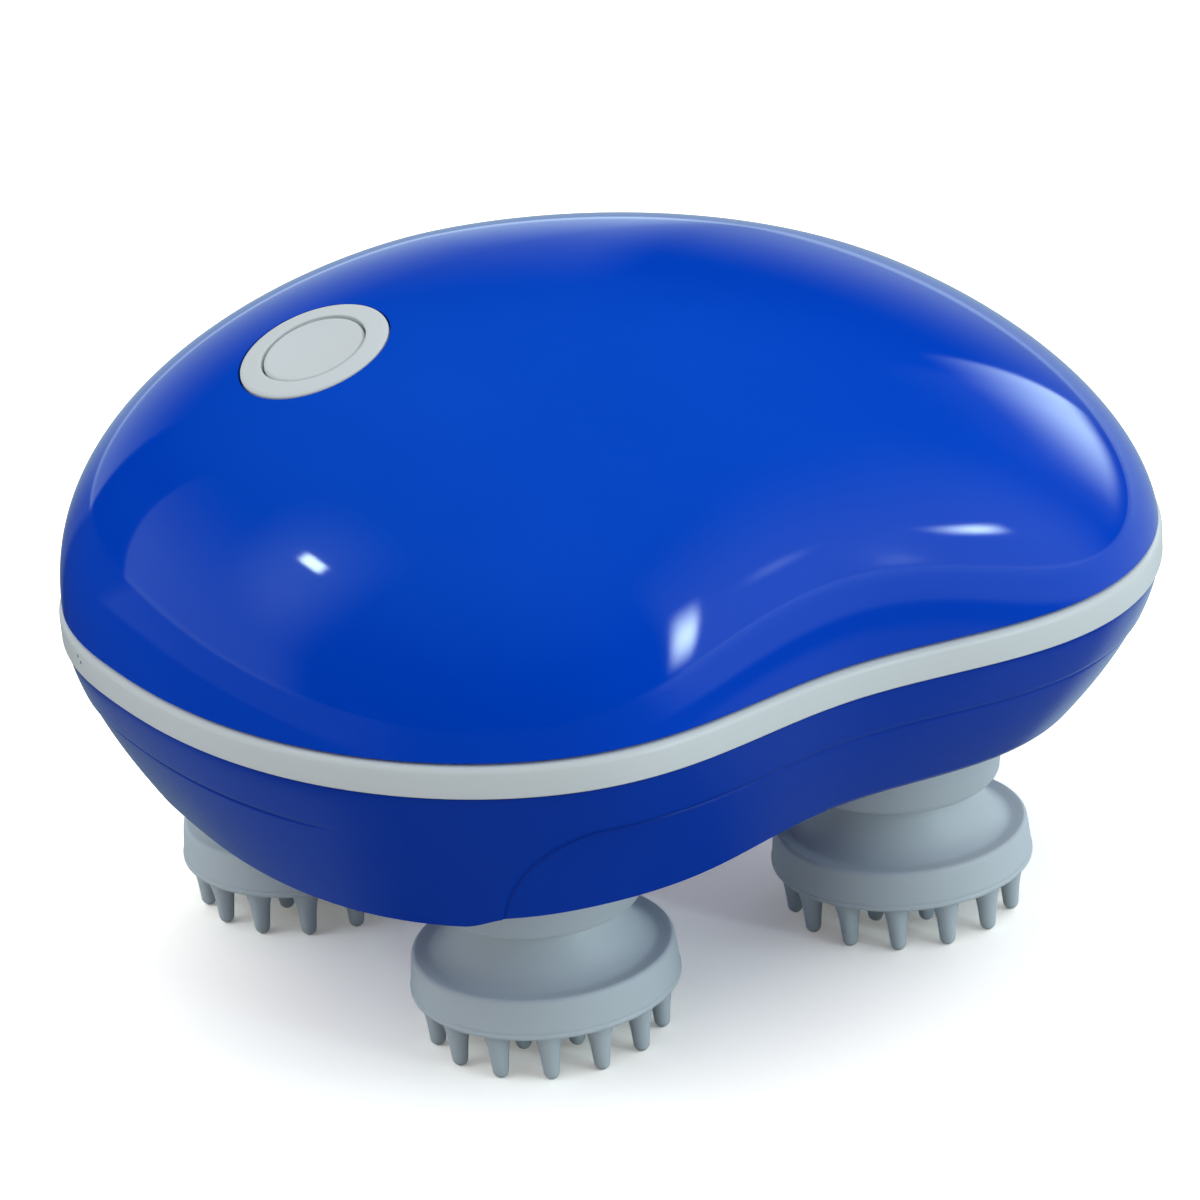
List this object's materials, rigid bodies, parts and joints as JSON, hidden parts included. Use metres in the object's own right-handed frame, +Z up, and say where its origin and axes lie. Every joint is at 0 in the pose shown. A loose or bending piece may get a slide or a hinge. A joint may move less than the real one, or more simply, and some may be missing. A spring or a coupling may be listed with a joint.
{
  "type": "scalp massager",
  "caption": "Cordless hand-held scalp massager: glossy bean-shaped housing over geared silicone massage heads with soft spikes, one push button on top",
  "frame": {"origin": "on the standing plane under the middle of the housing's outline; the spike tips stand on z = 0", "axes": "+Z up, out of the dome; -Y the waisted front of the housing, +Y its rounded back; +X to the right seen from the front, with the push button on the -X side"},
  "size_m": [0.1308, 0.1102, 0.0865],
  "materials": {
    "band_plastic": "satin moulded, light grey",
    "board_laminate": "solder resist on laminate",
    "bush_brass": "turned",
    "button_plastic": "satin moulded, light grey",
    "cell_wrap": "shrink film on a steel can",
    "collar_plastic": "satin moulded, grey",
    "contact_brass": "gold-plated brass",
    "frame_plastic": "moulded, dark",
    "gear_plastic": "natural acetal",
    "head_silicone": "soft silicone, cool grey",
    "hub_plastic": "moulded",
    "lower_shell_plastic": "gloss moulded, darker blue",
    "motor_steel": "drawn can",
    "pad_plastic": "moulded",
    "seal_rubber": "moulded",
    "steel": "ground",
    "switch_body": "moulded",
    "upper_shell_plastic": "high gloss moulded, blue"
  },
  "bodies": {
    "housing": {"base_screw_1": "steel", "base_screw_2": "steel", "base_screw_3": "steel", "battery_cell_front": "cell_wrap", "battery_cell_rear": "cell_wrap", "battery_cradle": "frame_plastic", "button_bezel": "button_plastic", "button_seal": "seal_rubber", "charge_contact_left": "contact_brass", "charge_contact_right": "contact_brass", "charge_pad": "pad_plastic", "collar_back_left": "collar_plastic", "collar_back_right": "collar_plastic", "collar_front_left": "collar_plastic", "collar_front_right": "collar_plastic", "control_board": "board_laminate", "gear_cover": "frame_plastic", "lower_shell": "lower_shell_plastic", "main_gear_shaft": "steel", "motor_can": "motor_steel", "output_bush_back_left": "bush_brass", "output_bush_back_right": "bush_brass", "output_bush_front_left": "bush_brass", "output_bush_front_right": "bush_brass", "shaft_seal_back_left": "seal_rubber", "shaft_seal_back_right": "seal_rubber", "shaft_seal_front_left": "seal_rubber", "shaft_seal_front_right": "seal_rubber", "switch_board": "board_laminate", "tact_switch": "switch_body", "trim_band": "band_plastic", "upper_shell": "upper_shell_plastic"},
    "push_button": {"button_cap": "button_plastic"},
    "main_gear": {"main_gear": "gear_plastic"},
    "motor_rotor": {"motor_shaft": "steel", "motor_pinion": "gear_plastic"},
    "head_front_left": {"head_hub_front_left": "hub_plastic", "massage_head_front_left": "head_silicone", "output_gear_front_left": "gear_plastic", "output_shaft_front_left": "steel"},
    "head_front_right": {"head_hub_front_right": "hub_plastic", "massage_head_front_right": "head_silicone", "output_gear_front_right": "gear_plastic", "output_shaft_front_right": "steel"},
    "head_back_left": {"head_hub_back_left": "hub_plastic", "massage_head_back_left": "head_silicone", "output_gear_back_left": "gear_plastic", "output_shaft_back_left": "steel"},
    "head_back_right": {"head_hub_back_right": "hub_plastic", "massage_head_back_right": "head_silicone", "output_gear_back_right": "gear_plastic", "output_shaft_back_right": "steel"}
  },
  "joints": [
    {"name": "main_gear_spin", "type": "hinge", "parent": "housing", "child": "main_gear", "pos_m": [0, 0.0068, 0.0385], "axis": [0, 0, 1], "continuous": true},
    {"name": "head_front_left_spin", "type": "hinge", "parent": "housing", "child": "head_front_left", "pos_m": [-0.02552, -0.02135, 0.0385], "axis": [0, 0, 1], "continuous": true},
    {"name": "head_front_right_spin", "type": "hinge", "parent": "housing", "child": "head_front_right", "pos_m": [0.02552, -0.02135, 0.0385], "axis": [0, 0, 1], "continuous": true},
    {"name": "head_back_left_spin", "type": "hinge", "parent": "housing", "child": "head_back_left", "pos_m": [-0.03023, 0.02983, 0.0385], "axis": [0, 0, 1], "continuous": true},
    {"name": "head_back_right_spin", "type": "hinge", "parent": "housing", "child": "head_back_right", "pos_m": [0.03023, 0.02983, 0.0385], "axis": [0, 0, 1], "continuous": true},
    {"name": "motor_spin", "type": "hinge", "parent": "housing", "child": "motor_rotor", "pos_m": [0, 0.0378, 0.0385], "axis": [0, 0, 1], "continuous": true},
    {"name": "button_press", "type": "slide", "parent": "housing", "child": "push_button", "axis": [0.3062, 0.0646, -0.9498], "range_m": [0, 0.0008], "stiffness_N_per_m": 1200}
  ],
  "couplings": [
    {"joint": "head_front_left_spin", "follows": "main_gear_spin", "ratio": -1.7143},
    {"joint": "head_front_right_spin", "follows": "main_gear_spin", "ratio": -1.7143},
    {"joint": "head_back_left_spin", "follows": "main_gear_spin", "ratio": -1.7143},
    {"joint": "head_back_right_spin", "follows": "main_gear_spin", "ratio": -1.7143},
    {"joint": "motor_spin", "follows": "main_gear_spin", "ratio": -3.4286}
  ]
}
